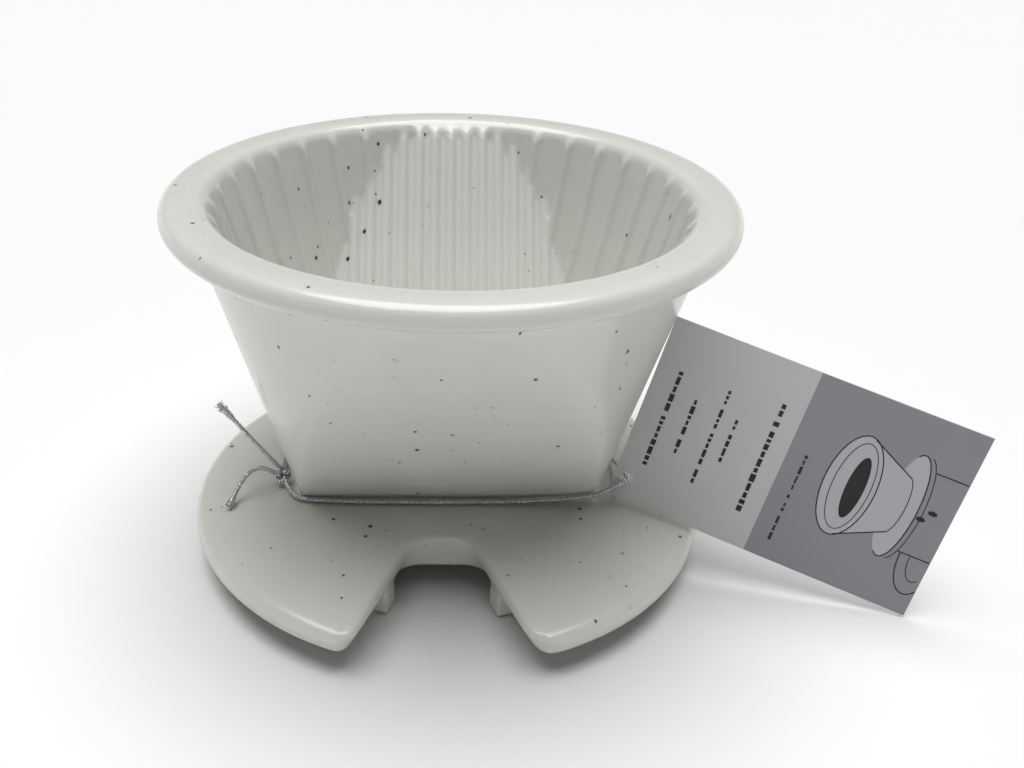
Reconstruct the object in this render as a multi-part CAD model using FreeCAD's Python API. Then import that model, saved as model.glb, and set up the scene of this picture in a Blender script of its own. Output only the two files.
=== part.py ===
"""Ceramic pour over coffee dripper with an elastic cord and a paper hang tag.

Millimetres. +Z is up. The origin is on the axis of the round rim, on the surface that the foot
ring stands on. +X runs along the long side of the filter slot and the sight notch opens to -Y.
The body is one fired piece, so it is modelled as the sections that the potter forms and joins,
which meet face to face.
"""
import FreeCAD, Part
import math
import os

V = FreeCAD.Vector
Z_AXIS = V(0, 0, 1)

# Overall
HEIGHT = 83.5
RIM_RADIUS = 60.0
OPENING_RADIUS = 50.0

# Cup: a cone cut by two sloping flats, whose wall thickens a little towards the rim
SAUCER_TOP = 13.5
RIM_JOINT = 76.0
CUP_BASE_RADIUS = 34.6
CONE_SLOPE = 0.2938
FLAT_HALF_DEPTH = 11.1
FLAT_SLOPE = 0.6698
INNER_FLAT_SLOPE = 0.6365
WALL = 4.6

# Rolled rim
LIP_THICKNESS = 4.1
LIP_TOP_INNER = 53.0
LIP_TOP_OUTER = 57.9
LIP_UNDER_INNER = 56.2
LIP_ROOT_Z = 77.0
LIP_HOLLOW = (54.2, 78.75)
LIP_INNER_EDGE = (50.95, 82.85)

# Floor and drip holes
FLOOR_UNDER = 5.5
FLOOR_TOP = 12.0
DRIP_HOLE_RADIUS = 2.6
DRIP_HOLE_PITCH = 16.0
DRIP_HOLES = 3

# Saucer
SAUCER_RADIUS = 57.9
SAUCER_EDGE_RADIUS = 2.7
SAUCER_DROOP = 2.6
SAUCER_CROWN = (45.5, 12.7)
SAUCER_UNDERCUT = 1.0
FOOT_OUTER = 37.0
FOOT_INNER = 32.3

# Sight notch, a little off the middle as the hand-cut one is
NOTCH_X = -1.5
NOTCH_BACK = 25.5
NOTCH_HALF_BACK = 6.5
NOTCH_FLARE = 0.377
NOTCH_CORNER = 5.5
NOTCH_TIP = 4.5
FOOT_GAP_EXTRA = 1.6

# Ribs
SIDE_RIBS = 14
SIDE_RIB_FIRST = 25.0
SIDE_RIB_STEP = 10.0
SIDE_RIB_WIDTH = 2.0
SIDE_RIB_HEIGHT = 1.0
SIDE_RIB_TOP = 80.5
PANEL_RIBS = 13
PANEL_RIB_PITCH = 3.9
PANEL_RIB_WIDTH = 1.8
PANEL_RIB_HEIGHT = 1.1
PANEL_RIB_TOP = 80.5

# Elastic cord: its routes are points chosen by hand, and each tube is straight runs and arcs
CORD_DIAMETER = 1.0
ARC_SHARE = 0.45
LOOP_ROUTE = [
    (-37.2, -6.6, 15.3), (-35.6, -10.8, 14.6), (-31.4, -13.9, 14.3), (29.6, -13.7, 14.3),
    (38.9, -15.2, 20.9), (39.9, -12.1, 20.3), (39.7, -6.6, 18.2), (39.3, 0.9, 15.7),
    (37.6, 8.6, 14.5), (32.3, 14.6, 14.3), (-32.1, 14.8, 14.3), (-37.0, 9.4, 14.4),
    (-38.7, 2.4, 14.8), (-38.0, -3.6, 15.7),
]
UPPER_TAIL_ROUTE = [(-38.2, -5.2, 17.3), (-42.6, -5.5, 23.1), (-48.3, -5.1, 30.5)]
LOWER_TAIL_ROUTE = [
    (-38.9, -5.9, 16.2), (-41.3, -6.3, 18.3), (-44.1, -7.0, 18.5), (-46.7, -8.9, 16.3),
    (-48.0, -11.2, 13.9),
]
KNOT_CENTRE = (-37.6, -5.1, 15.9)
KNOT_RADIUS = 1.75
UPPER_TIP = (-50.2, -5.0, 32.9)
LOWER_TIP = (-48.4, -12.6, 13.1)
UPPER_TIP_DIAMETER = 1.6
LOWER_TIP_DIAMETER = 1.5

# Hang tag, leaning with its lower edge over the saucer's edge
TAG_LONG = 68.0
TAG_SHORT = 44.0
TAG_THICKNESS = 0.4
TAG_HOLE = (39.4, -13.7, 20.6)
TAG_HOLE_RADIUS = 1.6
TAG_HOLE_FROM_END = 3.0
TAG_HOLE_FROM_EDGE = 4.9
TAG_TURN = -19.15
TAG_SLOPE = 13.96
TAG_LEAN = 9.8

BIG = 200.0


def cone_radius(z, inset=0.0):
    """Radius of the cup's round ends at height z, drawn in by inset."""
    return CUP_BASE_RADIUS + CONE_SLOPE * (z - SAUCER_TOP) - inset


def flat_depth(z, inset=0.0):
    """Distance of the outer flats from the XZ plane at height z, or of the inner ones from WALL in."""
    slope = FLAT_SLOPE if inset < WALL else INNER_FLAT_SLOPE
    return FLAT_HALF_DEPTH + slope * (z - SAUCER_TOP) - inset


def cone_solid(inset, low, high):
    """Solid cone between two heights."""
    return Part.makeCone(cone_radius(low, inset), cone_radius(high, inset), high - low, V(0, 0, low))


def wedge_solid(inset, low, high):
    """Solid between the two sloping flats, between two heights."""
    outline = [
        V(-BIG, -flat_depth(low, inset), low),
        V(-BIG, flat_depth(low, inset), low),
        V(-BIG, flat_depth(high, inset), high),
        V(-BIG, -flat_depth(high, inset), high),
    ]
    face = Part.Face(Part.makePolygon(outline + outline[:1]))
    return face.extrude(V(2 * BIG, 0, 0))


def half_space(side_x=0, side_y=0):
    """Large block on one side of the YZ or XZ plane."""
    block = Part.makeBox(2 * BIG, 2 * BIG, 2 * BIG, V(-BIG, -BIG, -BIG))
    block.translate(V(side_x * BIG, side_y * BIG, 0))
    return block


def revolved(edges):
    """Solid of revolution about Z from edges of a closed outline in the XZ plane."""
    face = Part.Face(Part.Wire(edges))
    return face.revolve(V(0, 0, 0), Z_AXIS, 360)


def line(start, end):
    """Straight edge between two (r, z) points."""
    return Part.makeLine(V(start[0], 0, start[1]), V(end[0], 0, end[1]))


def arc(start, middle, end):
    """Arc through three (r, z) points."""
    points = [V(r, 0, z) for r, z in (start, middle, end)]
    return Part.Arc(*points).toShape()


def cup_outline(inset, low, high):
    """Solid of the cup's outer shape, or of its hollow where inset is the wall."""
    return cone_solid(inset, low, high).common(wedge_solid(inset, low, high))


def cup_panels():
    """Front and rear flat walls, between the outer flats and the inner ones, up inside the rim."""
    block = cup_outline(0.0, FLOOR_TOP, RIM_JOINT).cut(wedge_solid(WALL, FLOOR_TOP, RIM_JOINT))
    arch_top = cone_solid(WALL, RIM_JOINT, PANEL_RIB_TOP).cut(wedge_solid(WALL, RIM_JOINT, PANEL_RIB_TOP))
    block = block.fuse(arch_top).removeSplitter()
    return block.common(half_space(side_y=-1)), block.common(half_space(side_y=1))


def cup_ends():
    """Left and right rounded walls, between the inner flats."""
    block = cup_outline(0.0, FLOOR_TOP, RIM_JOINT).common(wedge_solid(WALL, FLOOR_TOP, RIM_JOINT))
    shell = block.cut(cone_solid(WALL, FLOOR_TOP, RIM_JOINT))
    return shell.common(half_space(side_x=-1)), shell.common(half_space(side_x=1))


def rolled_rim():
    """Round lip on top of the walls, with soft edges and a hollow underside."""
    lip_under = HEIGHT - LIP_THICKNESS
    inner_top = (OPENING_RADIUS, RIM_JOINT + (OPENING_RADIUS - cone_radius(RIM_JOINT, WALL)) / CONE_SLOPE)
    joint_in = (cone_radius(RIM_JOINT, WALL), RIM_JOINT)
    joint_out = (cone_radius(RIM_JOINT), RIM_JOINT)
    root = (cone_radius(LIP_ROOT_Z), LIP_ROOT_Z)
    edges = [
        line(joint_in, inner_top),
        arc(inner_top, LIP_INNER_EDGE, (LIP_TOP_INNER, HEIGHT)),
        line((LIP_TOP_INNER, HEIGHT), (LIP_TOP_OUTER, HEIGHT)),
        arc((LIP_TOP_OUTER, HEIGHT), (RIM_RADIUS, HEIGHT - LIP_THICKNESS / 2), (LIP_TOP_OUTER, lip_under)),
        line((LIP_TOP_OUTER, lip_under), (LIP_UNDER_INNER, lip_under)),
        arc((LIP_UNDER_INNER, lip_under), LIP_HOLLOW, root),
        line(root, joint_out),
        line(joint_out, joint_in),
    ]
    return revolved(edges)


def side_ribs(side):
    """Slim ribs on one rounded end, one every few degrees, up into the rim."""
    low_shell = cone_solid(WALL, FLOOR_TOP, SIDE_RIB_TOP)
    core = cone_solid(WALL + SIDE_RIB_HEIGHT, FLOOR_TOP, SIDE_RIB_TOP)
    room = wedge_solid(WALL + PANEL_RIB_HEIGHT, FLOOR_TOP, SIDE_RIB_TOP)
    shell = low_shell.cut(core).common(room)
    ribs = []
    for index in range(SIDE_RIBS):
        angle = 90.0 - side * (SIDE_RIB_FIRST + index * SIDE_RIB_STEP)
        slab = Part.makeBox(BIG, SIDE_RIB_WIDTH, BIG, V(0, -SIDE_RIB_WIDTH / 2, 0))
        slab.rotate(V(0, 0, 0), Z_AXIS, angle)
        ribs.extend(shell.common(slab).Solids)
    return Part.makeCompound(ribs)


def panel_ribs(side):
    """Upright ribs on one inner flat, side by side, ending where the flat meets the round wall."""
    layer = wedge_solid(WALL, FLOOR_TOP, PANEL_RIB_TOP).cut(
        wedge_solid(WALL + PANEL_RIB_HEIGHT, FLOOR_TOP, PANEL_RIB_TOP))
    layer = layer.common(cone_solid(WALL, FLOOR_TOP, PANEL_RIB_TOP)).common(half_space(side_y=side))
    ribs = []
    for index in range(PANEL_RIBS):
        x = (index - (PANEL_RIBS - 1) / 2) * PANEL_RIB_PITCH
        slab = Part.makeBox(PANEL_RIB_WIDTH, 2 * BIG, BIG, V(x - PANEL_RIB_WIDTH / 2, -BIG, 0))
        ribs.extend(layer.common(slab).Solids)
    return Part.makeCompound(ribs)


def floor_block():
    """The floor's outer shape with no holes."""
    outline = cup_outline(0.0, FLOOR_TOP, RIM_JOINT)
    base = [face for face in outline.Faces if abs(face.CenterOfMass.z - FLOOR_TOP) < 1e-6][0]
    return base.extrude(V(0, 0, FLOOR_UNDER - FLOOR_TOP))


def cup_floor():
    """Thick floor of the slot, with its row of drip holes."""
    slab = floor_block()
    for index in range(DRIP_HOLES):
        x = (index - (DRIP_HOLES - 1) / 2) * DRIP_HOLE_PITCH
        slab = slab.cut(Part.makeCylinder(DRIP_HOLE_RADIUS, BIG, V(x, 0, -BIG / 2)))
    return slab


def notch_half(depth, extra=0.0):
    """Half width of the notch at a distance in front of the axis."""
    return NOTCH_HALF_BACK + NOTCH_FLARE * (depth - NOTCH_BACK) + extra


def notch_prism():
    """Flared notch with round back corners and round tips where it meets the saucer's edge."""
    normal = math.hypot(1.0, NOTCH_FLARE)
    wires = []
    for side in (-1, 1):
        tip_path = SAUCER_RADIUS - NOTCH_TIP
        depth = SAUCER_RADIUS
        for _ in range(40):
            across = side * NOTCH_X + notch_half(depth) + NOTCH_TIP * normal
            depth = math.sqrt(tip_path ** 2 - across ** 2)
        centre = V(NOTCH_X + side * (notch_half(depth) + NOTCH_TIP * normal), -depth, 0)
        touch_side = centre + V(-side, -NOTCH_FLARE, 0) * (NOTCH_TIP / normal)
        touch_edge = centre + V(centre).normalize() * NOTCH_TIP
        to_side = V(touch_side - centre).normalize()
        to_edge = V(touch_edge - centre).normalize()
        middle = centre + V(to_side + to_edge).normalize() * NOTCH_TIP
        wires.append((touch_side, middle, touch_edge))
    left, right = wires
    back_left = V(NOTCH_X - NOTCH_HALF_BACK, -NOTCH_BACK, 0)
    back_right = V(NOTCH_X + NOTCH_HALF_BACK, -NOTCH_BACK, 0)
    out_left = V(left[2].x, -BIG, 0)
    out_right = V(right[2].x, -BIG, 0)
    edges = [
        Part.Arc(left[2], left[1], left[0]).toShape(),
        Part.makeLine(left[0], back_left),
        Part.makeLine(back_left, back_right),
        Part.makeLine(back_right, right[0]),
        Part.Arc(right[0], right[1], right[2]).toShape(),
        Part.makeLine(right[2], out_right),
        Part.makeLine(out_right, out_left),
        Part.makeLine(out_left, left[2]),
    ]
    prism = Part.Face(Part.Wire(edges)).extrude(V(0, 0, BIG))
    corners = []
    for edge in prism.Edges:
        upright = abs(edge.BoundBox.ZLength - BIG) < 1e-6
        if upright and abs(edge.BoundBox.YMax + NOTCH_BACK) < 1e-6:
            corners.append(edge)
    prism = prism.makeFillet(NOTCH_CORNER, corners)
    prism.translate(V(0, 0, -BIG / 2))
    return prism


def saucer_flange():
    """Drooping disc that rests on the mug, notched in front, round the cup's foot."""
    edge_top = SAUCER_TOP - SAUCER_DROOP
    edge_in = SAUCER_RADIUS - SAUCER_EDGE_RADIUS
    start = (CUP_BASE_RADIUS - SAUCER_UNDERCUT, SAUCER_TOP)
    edges = [
        line((0, FLOOR_UNDER), (edge_in, FLOOR_UNDER)),
        arc((edge_in, FLOOR_UNDER), (SAUCER_RADIUS, (FLOOR_UNDER + edge_top) / 2), (edge_in, edge_top)),
        arc((edge_in, edge_top), SAUCER_CROWN, start),
        line(start, (0, SAUCER_TOP)),
        line((0, SAUCER_TOP), (0, FLOOR_UNDER)),
    ]
    disc = revolved(edges)
    disc = disc.cut(floor_block())
    disc = disc.cut(cup_outline(0.0, FLOOR_TOP, RIM_JOINT))
    return disc.cut(notch_prism())


def foot_ring():
    """Ring that drops inside the mug's mouth, cut through by the notch."""
    ring = Part.makeCylinder(FOOT_OUTER, FLOOR_UNDER)
    ring = ring.cut(Part.makeCylinder(FOOT_INNER, FLOOR_UNDER))
    near = notch_half(NOTCH_BACK, FOOT_GAP_EXTRA)
    far = notch_half(SAUCER_RADIUS, FOOT_GAP_EXTRA)
    gap = [
        V(NOTCH_X - near, -NOTCH_BACK, -1.0), V(NOTCH_X + near, -NOTCH_BACK, -1.0),
        V(NOTCH_X + far, -SAUCER_RADIUS, -1.0), V(NOTCH_X - far, -SAUCER_RADIUS, -1.0),
    ]
    return ring.cut(Part.Face(Part.makePolygon(gap + gap[:1])).extrude(V(0, 0, FLOOR_UNDER + 2.0)))


def cord_tube(name, route, diameter):
    """Tube along straight runs joined by tangent arcs, as large as the shorter run allows."""
    points = [V(*point) for point in route]
    edges = []
    start = points[0]
    radii = []
    for before, corner, after in zip(points, points[1:], points[2:]):
        run_in = corner - before
        run_out = after - corner
        turn = run_in.getAngle(run_out)
        trim = ARC_SHARE * min(run_in.Length, run_out.Length)
        radius = trim / math.tan(turn / 2)
        radii.append(round(radius, 1))
        unit_in = V(run_in).normalize()
        unit_out = V(run_out).normalize()
        arc_start = corner - unit_in * trim
        arc_end = corner + unit_out * trim
        inward = V(unit_out - unit_in).normalize()
        middle = corner + inward * (radius / math.cos(turn / 2) - radius)
        edges.append(Part.LineSegment(start, arc_start).toShape())
        edges.append(Part.Arc(arc_start, middle, arc_end).toShape())
        start = arc_end
    edges.append(Part.LineSegment(start, points[-1]).toShape())
    path = Part.Wire(edges)
    section = Part.Wire(Part.makeCircle(diameter / 2, points[0], points[1] - points[0]))
    tube = path.makePipeShell([section], True, False)
    expected = math.pi * diameter ** 2 / 4 * path.Length
    print(name, "length", round(path.Length, 1), "radii", radii)
    print(name, "volume over section times length", round(tube.Volume / expected, 4))
    return tube


def cord_tip(tail_route, end, diameter):
    """Short sealed end of the cord, thicker than the cord and rounded at its tip."""
    start = V(*tail_route[-1])
    reach = V(*end) - start
    barrel = Part.makeCylinder(diameter / 2, reach.Length - diameter / 2, start, reach)
    ball = Part.makeSphere(diameter / 2, start + V(reach).normalize() * (reach.Length - diameter / 2))
    return barrel.fuse(ball).removeSplitter()


def cord_knot():
    """Overhand knot, as a ball that the loop's ends and both tails run into."""
    return Part.makeSphere(KNOT_RADIUS, V(*KNOT_CENTRE))


def hang_tag():
    """Card with one punched hole, leaned and turned about its hole."""
    corner = V(-TAG_HOLE_FROM_END, -TAG_THICKNESS / 2, -TAG_HOLE_FROM_EDGE)
    card = Part.makeBox(TAG_LONG, TAG_THICKNESS, TAG_SHORT, corner)
    card = card.cut(Part.makeCylinder(TAG_HOLE_RADIUS, 2.0, V(0, -1.0, 0), V(0, 1, 0)))
    card.rotate(V(0, 0, 0), V(1, 0, 0), -TAG_LEAN)
    card.rotate(V(0, 0, 0), V(0, 1, 0), TAG_SLOPE)
    card.rotate(V(0, 0, 0), Z_AXIS, TAG_TURN)
    card.translate(V(*TAG_HOLE))
    return card


def main():
    """Build every node and write each one as its own STEP file."""
    front_panel, rear_panel = cup_panels()
    left_end, right_end = cup_ends()
    nodes = {
        "front_panel": front_panel,
        "rear_panel": rear_panel,
        "left_end_wall": left_end,
        "right_end_wall": right_end,
        "rolled_rim": rolled_rim(),
        "cup_floor": cup_floor(),
        "saucer_flange": saucer_flange(),
        "foot_ring": foot_ring(),
        "left_side_ribs": side_ribs(-1),
        "right_side_ribs": side_ribs(1),
        "front_panel_ribs": panel_ribs(-1),
        "rear_panel_ribs": panel_ribs(1),
        "tag_cord": cord_tube("tag_cord", LOOP_ROUTE, CORD_DIAMETER),
        "upper_cord_tail": cord_tube("upper_cord_tail", UPPER_TAIL_ROUTE, CORD_DIAMETER),
        "lower_cord_tail": cord_tube("lower_cord_tail", LOWER_TAIL_ROUTE, CORD_DIAMETER),
        "cord_knot": cord_knot(),
        "upper_cord_tip": cord_tip(UPPER_TAIL_ROUTE, UPPER_TIP, UPPER_TIP_DIAMETER),
        "lower_cord_tip": cord_tip(LOWER_TAIL_ROUTE, LOWER_TIP, LOWER_TIP_DIAMETER),
        "hang_tag": hang_tag(),
    }
    os.makedirs("parts", exist_ok=True)
    for name, shape in nodes.items():
        print(name, "solids", len(shape.Solids), "volume", round(shape.Volume, 1), "valid", shape.isValid())
        shape.exportStep("parts/" + name + ".step")


main()
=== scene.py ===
"""A glazed pour over dripper with its elastic cord and hang tag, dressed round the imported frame."""
import logging
import math
import random
from dataclasses import dataclass, field
from enum import Enum
from typing import Callable, Sequence

import bmesh
import bpy
from mathutils import Matrix, Vector


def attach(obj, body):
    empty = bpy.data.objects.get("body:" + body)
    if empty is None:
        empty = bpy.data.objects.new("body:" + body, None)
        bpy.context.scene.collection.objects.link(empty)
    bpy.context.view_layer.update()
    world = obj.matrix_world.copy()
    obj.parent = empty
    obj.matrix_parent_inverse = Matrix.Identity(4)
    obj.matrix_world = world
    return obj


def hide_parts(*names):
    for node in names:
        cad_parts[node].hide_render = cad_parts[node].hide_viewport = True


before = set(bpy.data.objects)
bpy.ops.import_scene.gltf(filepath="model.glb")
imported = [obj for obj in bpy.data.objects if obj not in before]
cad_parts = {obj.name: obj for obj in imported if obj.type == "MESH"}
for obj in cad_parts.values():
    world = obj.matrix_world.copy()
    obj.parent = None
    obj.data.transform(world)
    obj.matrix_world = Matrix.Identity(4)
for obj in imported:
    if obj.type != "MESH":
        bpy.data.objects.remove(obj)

LOG = logging.getLogger("dripper")
MM = 0.001
TURN = 2 * math.pi
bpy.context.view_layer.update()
Point = tuple[float, float, float]


class Body(Enum):
    """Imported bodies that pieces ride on."""

    DRIPPER = "root"
    TAG = "tag"


class Slot(Enum):
    """Material slots of the record."""

    CERAMIC = "glazed_ceramic"
    CORD = "elastic_cord"
    CARD = "tag_card"


# ---------------------------------------------------------------------------------------------
# Shader graphs
# ---------------------------------------------------------------------------------------------


class Socket:
    """A shader socket that Python expressions can be written on."""

    def __init__(self, graph: "Graph", link: bpy.types.NodeSocket) -> None:
        """Wraps a socket.

        Args:
            graph: The graph that the socket belongs to.
            link: The output socket.
        """
        self.graph = graph
        self.link = link

    def math(self, operation: str, *others: "Socket | float", clamp: bool = False) -> "Socket":
        """Adds a Math node.

        Args:
            operation: The node's operation.
            others: The inputs after this one.
            clamp: Whether the result is kept from 0 to 1.

        Returns:
            The node's result.
        """
        values = {index: value for index, value in enumerate((self, *others))}
        return self.graph.node("ShaderNodeMath", {"operation": operation, "use_clamp": clamp}, values)

    def __add__(self, other: "Socket | float") -> "Socket":
        """Sum."""
        return self.math("ADD", other)

    def __radd__(self, other: float) -> "Socket":
        """Sum, reflected."""
        return self.math("ADD", other)

    def __sub__(self, other: "Socket | float") -> "Socket":
        """Difference."""
        return self.math("SUBTRACT", other)

    def __rsub__(self, other: float) -> "Socket":
        """Difference, reflected."""
        return (self * -1.0).math("ADD", other)

    def __mul__(self, other: "Socket | float") -> "Socket":
        """Product."""
        return self.math("MULTIPLY", other)

    def __rmul__(self, other: float) -> "Socket":
        """Product, reflected."""
        return self.math("MULTIPLY", other)

    def __truediv__(self, other: "Socket | float") -> "Socket":
        """Quotient."""
        return self.math("DIVIDE", other)

    def __pow__(self, other: "Socket | float") -> "Socket":
        """Power."""
        return self.math("POWER", other)

    def __lt__(self, other: "Socket | float") -> "Socket":
        """1 where this is less."""
        return self.math("LESS_THAN", other)

    def __gt__(self, other: "Socket | float") -> "Socket":
        """1 where this is more."""
        return self.math("GREATER_THAN", other)

    def ramp(self, low: float, high: float) -> "Socket":
        """Smooth step.

        Args:
            low: Where the step starts.
            high: Where it ends, which may be below its start.

        Returns:
            0 at low to 1 at high.
        """
        settings = {"interpolation_type": "SMOOTHSTEP"}
        values = {"Value": self, "From Min": low, "From Max": high, "To Min": 0.0, "To Max": 1.0}
        return self.graph.node("ShaderNodeMapRange", settings, values)


class Graph:
    """One material's shader nodes."""

    def __init__(self, name: str) -> None:
        """Makes an empty node material.

        Args:
            name: The material's name.
        """
        self.material = bpy.data.materials.new(name)
        self.material.use_nodes = True
        self.tree = self.material.node_tree
        self.tree.nodes.clear()
        self.output = self.tree.nodes.new("ShaderNodeOutputMaterial")
        self.shader = self.tree.nodes.new("ShaderNodeBsdfPrincipled")
        self.tree.links.new(self.shader.outputs[0], self.output.inputs["Surface"])

    def node(
        self,
        kind: str,
        settings: dict[str, object] | None = None,
        values: dict[str | int, object] | None = None,
        output: str | int = 0,
    ) -> Socket:
        """Adds one node.

        Args:
            kind: The node's type.
            settings: Attributes, or a colour ramp's stops under "stops", which are set first.
            values: Numbers, colours or sockets for the inputs, by name or place.
            output: The output that is wanted.

        Returns:
            That output.
        """
        made = self.tree.nodes.new(kind)
        for key, value in (settings or {}).items():
            if key == "stops":
                self._set_stops(made.color_ramp, value)
            else:
                setattr(made, key, value)
        for key, value in (values or {}).items():
            if isinstance(value, Socket):
                self.tree.links.new(value.link, made.inputs[key])
            else:
                made.inputs[key].default_value = value
        return Socket(self, made.outputs[output])

    @staticmethod
    def _set_stops(ramp: bpy.types.ColorRamp, stops: Sequence[tuple[float, Sequence[float]]]) -> None:
        """Sets a colour ramp's stops.

        Args:
            ramp: The ramp.
            stops: Places and colours, in order.
        """
        while len(ramp.elements) < len(stops):
            ramp.elements.new(1.0)
        for element, (place, colour) in zip(ramp.elements, stops):
            element.position = place
            element.color = colour

    def place(self) -> Socket:
        """Object coordinates."""
        return self.node("ShaderNodeTexCoord", output="Object")

    def noise(
        self, scale: float, detail: float = 2.0, where: Socket | None = None, rough: float = 0.5
    ) -> Socket:
        """Noise over the surface.

        Args:
            scale: How many features fit in a metre.
            detail: Octaves.
            where: Coordinates, which are Object coordinates if none are given.
            rough: How strong the finer octaves are.

        Returns:
            Noise from 0 to 1.
        """
        values = {"Vector": where or self.place(), "Scale": scale, "Detail": detail, "Roughness": rough}
        return self.node("ShaderNodeTexNoise", values=values)

    def mix(self, mask: Socket | float, first: object, second: object) -> Socket:
        """Mixes two colours.

        Args:
            mask: 0 for the first and 1 for the second.
            first: A colour or a socket.
            second: A colour or a socket.

        Returns:
            The mixed colour.
        """
        values = {0: mask, 6: first, 7: second}
        return self.node("ShaderNodeMix", {"data_type": "RGBA"}, values, output=2)

    def bump(self, height: Socket, strength: float, distance: float) -> Socket:
        """Bump from a height.

        Args:
            height: Height from 0 to 1.
            strength: Strength of the effect.
            distance: Depth in metres.

        Returns:
            The bent normal.
        """
        values = {"Height": height, "Strength": strength, "Distance": distance}
        return self.node("ShaderNodeBump", values=values)

    def finish(self, values: dict[str, object]) -> bpy.types.Material:
        """Sets the shader's inputs.

        Args:
            values: Numbers, colours or sockets by input name.

        Returns:
            The material.
        """
        for key, value in values.items():
            if isinstance(value, Socket):
                self.tree.links.new(value.link, self.shader.inputs[key])
            else:
                self.shader.inputs[key].default_value = value
        return self.material


@dataclass(frozen=True)
class Glaze:
    """Warm white glaze with iron specks that burn through it.

    Specks have the pitch of their cells, their largest radius and the share of cells that hold one.
    """

    base: Sequence[float] = (0.655, 0.66, 0.62, 1.0)
    pooled: Sequence[float] = (0.60, 0.61, 0.565, 1.0)
    speck: Sequence[float] = (0.018, 0.014, 0.012, 1.0)
    halo: Sequence[float] = (0.31, 0.285, 0.225, 1.0)
    roughness: float = 0.2
    speck_run: tuple[float, float, float] = (1.0, 1.0, 0.66)
    large_specks: tuple[float, float, float] = (3.6 * MM, 0.56 * MM, 0.27)
    small_specks: tuple[float, float, float] = (2.7 * MM, 0.30 * MM, 0.36)

    def speck_layer(self, graph: Graph, pitch: float, size: float, share: float) -> tuple[Socket, Socket]:
        """One size of specks.

        Args:
            graph: The glaze's graph.
            pitch: Mean distance between the cells that may hold a speck.
            size: Largest radius of a speck.
            share: Part of the cells that hold one.

        Returns:
            The dark core and the paler halo round it, each from 0 to 1.
        """
        wobble = graph.noise(2600.0, 2.0)
        run = {"Vector": graph.place(), "Scale": self.speck_run}
        where = graph.node("ShaderNodeMapping", values=run)
        values = {"Vector": where, "Scale": 1.0 / pitch, "Randomness": 1.0}
        distance = graph.node("ShaderNodeTexVoronoi", {"feature": "F1"}, values, output="Distance") * pitch
        cell = graph.node("ShaderNodeTexVoronoi", {"feature": "F1"}, values, output="Color")
        red = graph.node("ShaderNodeSeparateColor", values={0: cell}, output=0)
        green = graph.node("ShaderNodeSeparateColor", values={0: cell}, output=1)
        held = red < graph.noise(34.0, 1.0).ramp(0.35, 0.65) * share + share * 0.4
        radius = (green * 0.65 + 0.35) * size * (0.7 + 0.6 * wobble)
        core = (distance / radius).ramp(1.0, 0.72) * held
        halo = (distance / radius).ramp(1.9, 0.9) * held
        return core, halo

    def material(self) -> bpy.types.Material:
        """Builds the glaze.

        Returns:
            The material.
        """
        graph = Graph("speckled_glaze")
        large, large_halo = self.speck_layer(graph, *self.large_specks)
        small, small_halo = self.speck_layer(graph, *self.small_specks)
        core = large.math("MAXIMUM", small)
        halo = large_halo.math("MAXIMUM", small_halo * 0.6)
        drift = graph.noise(22.0, 3.0).ramp(0.35, 0.7)
        clouds = graph.noise(110.0, 2.0).ramp(0.3, 0.75)
        colour = graph.mix(drift * 0.55 + clouds * 0.2, self.base, self.pooled)
        colour = graph.mix(halo * 0.28, colour, self.halo)
        colour = graph.mix(core, colour, self.speck)
        ripple = graph.noise(190.0, 1.0) * 0.7 + graph.noise(900.0, 1.0) * 0.12
        normal = graph.bump(ripple - core * 0.25, 0.32, 0.35 * MM)
        rough = self.roughness + 0.07 * graph.noise(300.0, 2.0) + core * 0.25
        return graph.finish({
            "Base Color": colour, "Roughness": rough, "Normal": normal, "IOR": 1.5,
            "Coat Weight": 0.22, "Coat Roughness": 0.1, "Coat IOR": 1.5,
            "Subsurface Weight": 0.06, "Subsurface Radius": (0.0016, 0.0014, 0.0010),
            "Subsurface Scale": 1.0,
        })


@dataclass(frozen=True)
class SilverThread:
    """Metallised film thread wound round an elastic core. The pitch is in millimetres."""

    bright: Sequence[float] = (0.92, 0.92, 0.94, 1.0)
    dark: Sequence[float] = (0.16, 0.16, 0.17, 1.0)
    pitch: float = 0.52

    def material(self) -> bpy.types.Material:
        """Builds the thread.

        Returns:
            The material.
        """
        graph = Graph("silver_elastic_thread")
        wound = graph.node("ShaderNodeUVMap", {"uv_map": "wound"})
        along = graph.node("ShaderNodeSeparateXYZ", values={0: wound}, output=0)
        around = graph.node("ShaderNodeSeparateXYZ", values={0: wound}, output=1)
        turns = ((along / self.pitch + around) * TURN).math("SINE") * 0.5 + 0.5
        # Noise paints bright glints into the thread's colour here, as painted highlights; the same spots
        # are also made smoother.
        painted_glint = graph.noise(2400.0, 2.0, rough=0.7).ramp(0.4, 0.62)
        colour = graph.mix(painted_glint * 0.35 + turns * 0.65, self.dark, self.bright)
        rough = 0.46 - 0.2 * painted_glint
        normal = graph.bump(turns * 0.8 + graph.noise(5200.0, 1.0) * 0.2, 0.8, 0.07 * MM)
        return graph.finish({
            "Base Color": colour, "Roughness": rough, "Normal": normal, "Metallic": 0.85,
        })


@dataclass(frozen=True)
class Card:
    """Uncoated card with one printed tint."""

    name: str
    tint: Sequence[float]
    shade: Sequence[float]
    roughness: float = 0.62

    def material(self) -> bpy.types.Material:
        """Builds the card.

        Returns:
            The material.
        """
        graph = Graph(self.name)
        fibre = graph.noise(1500.0, 4.0, rough=0.65)
        cloud = graph.noise(60.0, 2.0).ramp(0.3, 0.7)
        colour = graph.mix(fibre * 0.6 + cloud * 0.4, self.shade, self.tint)
        normal = graph.bump(fibre, 0.25, 0.04 * MM)
        return graph.finish({
            "Base Color": colour, "Roughness": self.roughness + 0.1 * cloud, "Normal": normal,
            "Specular IOR Level": 0.35,
        })


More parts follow.
